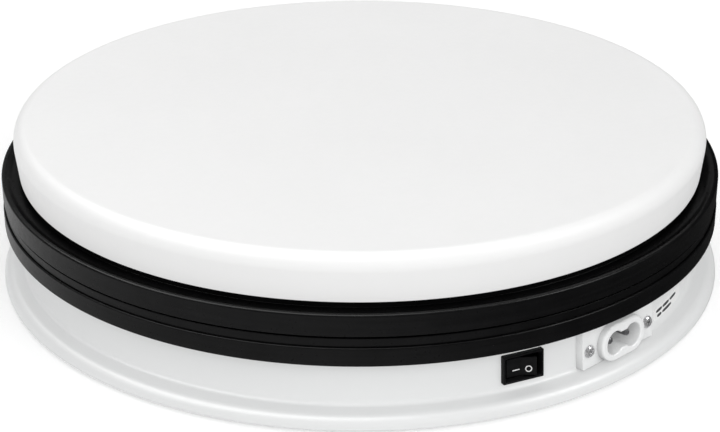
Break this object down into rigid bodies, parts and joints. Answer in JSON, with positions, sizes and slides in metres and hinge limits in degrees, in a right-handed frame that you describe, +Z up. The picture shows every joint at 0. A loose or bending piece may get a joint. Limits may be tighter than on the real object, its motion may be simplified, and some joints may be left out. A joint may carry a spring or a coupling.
{
  "type": "turntable display stand",
  "caption": "Round motorised display turntable: thick white top disc on a black rotating platter, over a fixed black deck and a white base with rocker switch and mains inlet.",
  "frame": {"origin": "on the floor, under the middle of the stand", "axes": "+Z up along the platter's axis; -Y is the front; the switch and the inlet face between -Y and +X"},
  "size_m": [0.2636, 0.2636, 0.0585],
  "materials": {
    "disc_white": "fine matt moulded plastic",
    "base_white": "satin moulded plastic",
    "black_satin": "satin moulded plastic",
    "switch_black": "fine matt moulded plastic",
    "inlet_white": "satin moulded plastic",
    "label_white": "smooth film",
    "acetal": "smooth moulded plastic",
    "rubber": "matt",
    "bronze": "sintered bronze",
    "brass": "machined",
    "steel": "ground",
    "zinc_steel": "zinc plated",
    "wire_brown": "soft plastic insulation",
    "wire_blue": "soft plastic insulation"
  },
  "bodies": {
    "base": {"base_shell": "base_white", "bottom_plate": "base_white", "deck": "black_satin", "deck_screw_1": "zinc_steel", "deck_screw_2": "zinc_steel", "deck_screw_3": "zinc_steel", "deck_screw_4": "zinc_steel", "hub_washer": "steel", "inlet_housing": "inlet_white", "inlet_pin_1": "steel", "inlet_pin_2": "steel", "inlet_screw_1": "zinc_steel", "inlet_screw_2": "zinc_steel", "motor_can": "zinc_steel", "motor_gearcase": "zinc_steel", "motor_screw_1": "zinc_steel", "motor_screw_2": "zinc_steel", "plate_screw_1": "zinc_steel", "plate_screw_2": "zinc_steel", "plate_screw_3": "zinc_steel", "plate_screw_4": "zinc_steel", "rating_label": "label_white", "retaining_clip": "steel", "roller_axle_1": "steel", "roller_axle_2": "steel", "roller_axle_3": "steel", "roller_axle_4": "steel", "rubber_foot_1": "rubber", "rubber_foot_2": "rubber", "rubber_foot_3": "rubber", "rubber_foot_4": "rubber", "spindle": "steel", "spindle_nut": "zinc_steel", "switch_housing": "switch_black", "switch_terminal_1": "brass", "switch_terminal_2": "brass", "thrust_washer": "acetal", "wire_live": "wire_brown", "wire_neutral": "wire_blue", "wire_switched": "wire_brown"},
    "platter": {"top_disc": "disc_white", "platter": "black_satin", "driven_gear": "acetal", "hub_bush": "bronze", "disc_screw_1": "zinc_steel", "disc_screw_2": "zinc_steel", "disc_screw_3": "zinc_steel", "disc_screw_4": "zinc_steel", "gear_screw_1": "zinc_steel", "gear_screw_2": "zinc_steel", "gear_screw_3": "zinc_steel"},
    "motor_output": {"motor_shaft": "steel", "drive_pinion": "brass"},
    "rocker": {"switch_rocker": "switch_black"},
    "roller_1": {"roller_1": "acetal"},
    "roller_2": {"roller_2": "acetal"},
    "roller_3": {"roller_3": "acetal"},
    "roller_4": {"roller_4": "acetal"}
  },
  "joints": [
    {"name": "platter_spin", "type": "hinge", "parent": "base", "child": "platter", "pos_m": [0, 0, 0.044], "axis": [0, 0, 1], "continuous": true},
    {"name": "pinion_spin", "type": "hinge", "parent": "base", "child": "motor_output", "pos_m": [0, 0.05415, 0.0364], "axis": [0, 0, 1], "continuous": true},
    {"name": "roller_1_spin", "type": "hinge", "parent": "base", "child": "roller_1", "pos_m": [0.05, -0.0866, 0.03378], "axis": [0.5, -0.866, 0], "continuous": true},
    {"name": "roller_2_spin", "type": "hinge", "parent": "base", "child": "roller_2", "pos_m": [0.0866, 0.05, 0.03378], "axis": [0.866, 0.5, 0], "continuous": true},
    {"name": "roller_3_spin", "type": "hinge", "parent": "base", "child": "roller_3", "pos_m": [-0.05, 0.0866, 0.03378], "axis": [-0.5, 0.866, 0], "continuous": true},
    {"name": "roller_4_spin", "type": "hinge", "parent": "base", "child": "roller_4", "pos_m": [-0.0866, -0.05, 0.03378], "axis": [-0.866, -0.5, 0], "continuous": true},
    {"name": "rocker_tilt", "type": "hinge", "parent": "base", "child": "rocker", "pos_m": [0.05064, -0.10985, 0.01322], "axis": [-0.0303, 0.0658, 0.9974], "range_deg": [0, 24]}
  ],
  "couplings": [
    {"joint": "pinion_spin", "follows": "platter_spin", "ratio": -5},
    {"joint": "roller_1_spin", "follows": "platter_spin", "ratio": -20},
    {"joint": "roller_2_spin", "follows": "platter_spin", "ratio": -20},
    {"joint": "roller_3_spin", "follows": "platter_spin", "ratio": -20},
    {"joint": "roller_4_spin", "follows": "platter_spin", "ratio": -20}
  ]
}
